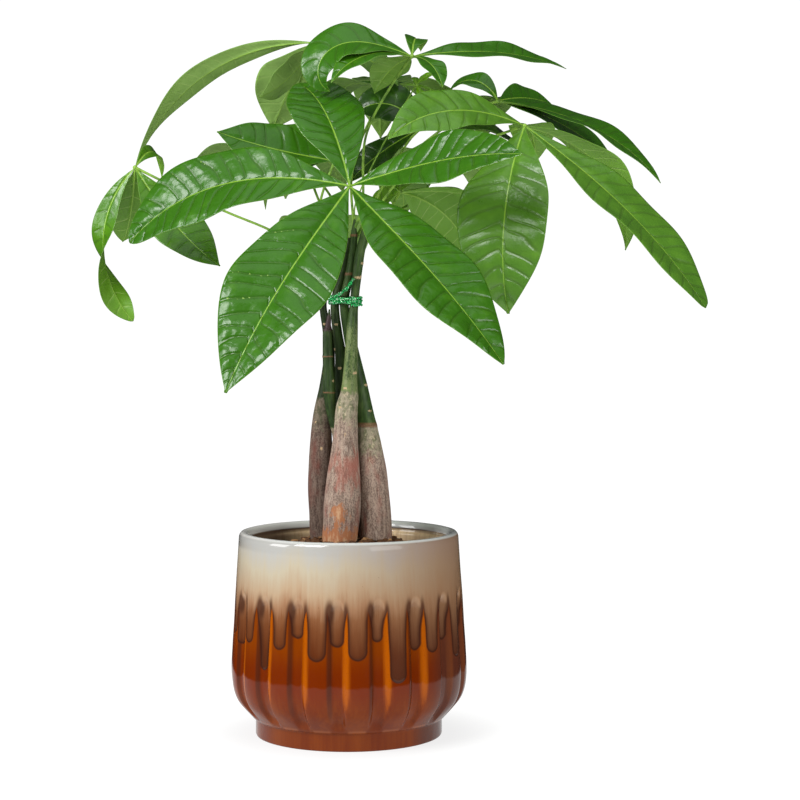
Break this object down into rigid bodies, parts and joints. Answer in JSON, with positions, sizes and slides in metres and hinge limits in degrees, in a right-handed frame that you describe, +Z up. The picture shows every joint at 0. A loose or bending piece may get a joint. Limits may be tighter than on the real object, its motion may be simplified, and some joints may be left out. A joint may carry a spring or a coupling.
{
  "type": "potted money tree",
  "caption": "Plaited money tree with palmate leaves, tied near the top, in a ribbed drip-glazed ceramic pot.",
  "frame": {"origin": "centre of the pot's flat underside", "axes": "+Z up along the pot's axis, -Y towards the front, +X to the right seen from the front"},
  "size_m": [0.5163, 0.4437, 0.6077],
  "materials": {
    "glaze": "gloss drip glaze, cream over red-brown",
    "soil": "loose dark potting mix with bark",
    "bark": "grey-brown bark below, smooth green above",
    "foil": "green metallic foil",
    "leaf": "glossy, quilted between the veins"
  },
  "bodies": {
    "root": {"pot": "glaze", "soil": "soil", "stem_centre": "bark", "stem_right": "bark", "stem_left": "bark", "stem_back_left": "bark", "stem_back_right": "bark", "tie": "foil", "leaf_front": "leaf", "leaf_top": "leaf", "leaf_right": "leaf", "leaf_upper_right": "leaf", "leaf_far_left": "leaf", "leaf_upper_left": "leaf", "leaf_left_middle": "leaf", "leaf_lower_right": "leaf", "leaf_centre": "leaf", "leaf_young": "leaf", "leaf_back_left": "leaf", "leaf_back_right": "leaf", "leaf_back_low": "leaf", "leaf_back_top": "leaf"}
  },
  "joints": []
}
